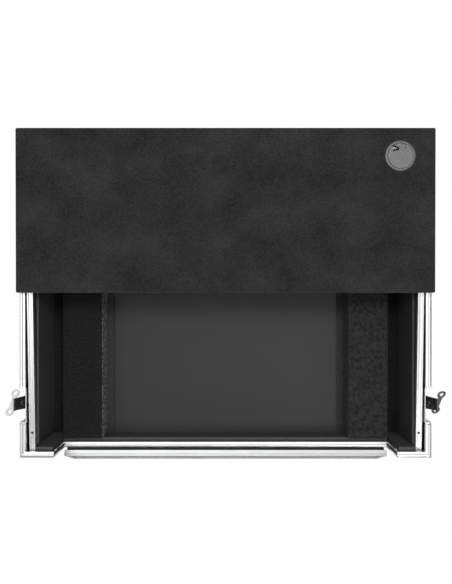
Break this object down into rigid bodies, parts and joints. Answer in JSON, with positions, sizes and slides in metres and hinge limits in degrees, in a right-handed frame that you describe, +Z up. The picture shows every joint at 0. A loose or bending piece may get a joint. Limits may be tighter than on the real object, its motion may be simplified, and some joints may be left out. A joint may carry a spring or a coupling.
{
  "type": "dj controller flight case base with sliding laptop platform",
  "caption": "Open road-case tub with aluminium edges, foam-lined bay, drop-down front flap, butterfly latches and a carpeted laptop platform that slides along its rims.",
  "frame": {"origin": "on the table, under the middle of the outline's bounding box", "axes": "+X to the operator's right, +Y to the rear, +Z up"},
  "size_m": [0.8792, 0.683, 0.214],
  "materials": {
    "laminate": "satin black laminate on plywood",
    "flap_face": "glossy black laminate",
    "aluminium": "satin anodised extrusion",
    "steel": "bright zinc plate",
    "latch_black": "dark satin",
    "foam": "closed-cell foam, cut surface",
    "carpet": "short-pile carpet",
    "rubber": "matte",
    "black_plastic": "smooth satin",
    "grey_plastic": "satin moulded"
  },
  "bodies": {
    "case": {"base_board": "laminate", "side_wall_l": "laminate", "side_wall_r": "laminate", "front_wall": "laminate", "rear_wall": "laminate", "rim_l": "aluminium", "rim_r": "aluminium", "rim_rear": "aluminium", "rim_front": "aluminium", "sill_edging": "aluminium", "jamb_trims": "aluminium", "jamb_seals": "rubber", "inner_panels": "laminate", "inner_rails": "aluminium", "spacer_battens": "laminate", "side_linings": "foam", "front_lining": "foam", "rear_lining": "foam", "base_liner": "foam", "floor_panel": "black_plastic", "foam_block_l": "foam", "foam_block_r": "foam", "foam_block_rear": "foam", "bottom_angles": "aluminium", "corner_angles": "aluminium", "ball_corners": "steel", "rubber_feet": "rubber", "foot_screws": "steel", "case_rivets": "steel", "rail_screws": "steel", "port_bezel": "black_plastic", "hinge_wall_leaf": "steel", "hinge_pin": "steel", "latch_dishes": "steel", "latch_pins": "steel", "handle_dishes": "steel", "handle_springs": "steel"},
    "platform": {"platform_board": "laminate", "platform_carpet": "carpet", "platform_runners": "black_plastic", "platform_screws": "steel", "grommet_liner": "grey_plastic", "grommet_shutter": "grey_plastic"},
    "cap": {"grommet_cap": "grey_plastic"},
    "flap": {"flap_board": "flap_face", "flap_edging": "aluminium", "hinge_flap_leaf": "steel"},
    "plate_l": {"latch_plate_l": "latch_black"},
    "hook_l": {"latch_hook_l": "latch_black"},
    "disc_l": {"latch_disc_l": "steel"},
    "wing_l": {"latch_wing_l": "steel"},
    "handle_l": {"handle_bail_l": "steel", "handle_grip_l": "rubber"},
    "plate_r": {"latch_plate_r": "latch_black"},
    "hook_r": {"latch_hook_r": "latch_black"},
    "disc_r": {"latch_disc_r": "steel"},
    "wing_r": {"latch_wing_r": "steel"},
    "handle_r": {"handle_bail_r": "steel", "handle_grip_r": "rubber"}
  },
  "joints": [
    {"name": "platform_slide", "type": "slide", "parent": "case", "child": "platform", "axis": [0, -1, 0], "range_m": [0, 0.27]},
    {"name": "grommet_turn", "type": "hinge", "parent": "platform", "child": "cap", "pos_m": [0.336, 0.28747, 0.212], "axis": [0, 0, 1], "range_deg": [-90, 50]},
    {"name": "flap_hinge", "type": "hinge", "parent": "case", "child": "flap", "pos_m": [0, -0.30073, 0.0945], "axis": [-1, 0, 0], "range_deg": [0, 164.04]},
    {"name": "latch_swing_l", "type": "hinge", "parent": "case", "child": "plate_l", "pos_m": [-0.3954, -0.19553, 0.129], "axis": [0, 1, 0], "range_deg": [0, 16]},
    {"name": "latch_turn_l", "type": "hinge", "parent": "plate_l", "child": "disc_l", "pos_m": [-0.40367, -0.19553, 0.15784], "axis": [-0.9613, 0, -0.2756], "range_deg": [0, 212]},
    {"name": "latch_draw_l", "type": "slide", "parent": "plate_l", "child": "hook_l", "axis": [0.2756, 0, -0.9613], "range_m": [0, 0.006]},
    {"name": "latch_fold_l", "type": "hinge", "parent": "disc_l", "child": "wing_l", "pos_m": [-0.41376, -0.19553, 0.15494], "axis": [-0.1461, -0.848, 0.5094], "range_deg": [-90, 0]},
    {"name": "handle_swing_l", "type": "hinge", "parent": "case", "child": "handle_l", "pos_m": [-0.3966, 0.00847, 0.13], "axis": [0, 1, 0], "range_deg": [0, 85], "stiffness_Nm_per_rad": 0.12, "springref_deg": -34.38},
    {"name": "latch_swing_r", "type": "hinge", "parent": "case", "child": "plate_r", "pos_m": [0.3954, -0.19553, 0.129], "axis": [0, -1, 0], "range_deg": [0, 16]},
    {"name": "latch_turn_r", "type": "hinge", "parent": "plate_r", "child": "disc_r", "pos_m": [0.40367, -0.19553, 0.15784], "axis": [0.9613, 0, -0.2756], "range_deg": [-212, 0]},
    {"name": "latch_draw_r", "type": "slide", "parent": "plate_r", "child": "hook_r", "axis": [-0.2756, 0, -0.9613], "range_m": [0, 0.006]},
    {"name": "latch_fold_r", "type": "hinge", "parent": "disc_r", "child": "wing_r", "pos_m": [0.41376, -0.19553, 0.15494], "axis": [0.1461, 0.848, 0.5094], "range_deg": [-90, 0]},
    {"name": "handle_swing_r", "type": "hinge", "parent": "case", "child": "handle_r", "pos_m": [0.3966, 0.00847, 0.13], "axis": [0, -1, 0], "range_deg": [0, 85], "stiffness_Nm_per_rad": 0.12, "springref_deg": -34.38}
  ],
  "couplings": [
    {"joint": "latch_draw_l", "follows": "latch_turn_l", "m_per_rad": 0.0016214},
    {"joint": "latch_draw_r", "follows": "latch_turn_r", "m_per_rad": -0.0016214}
  ]
}
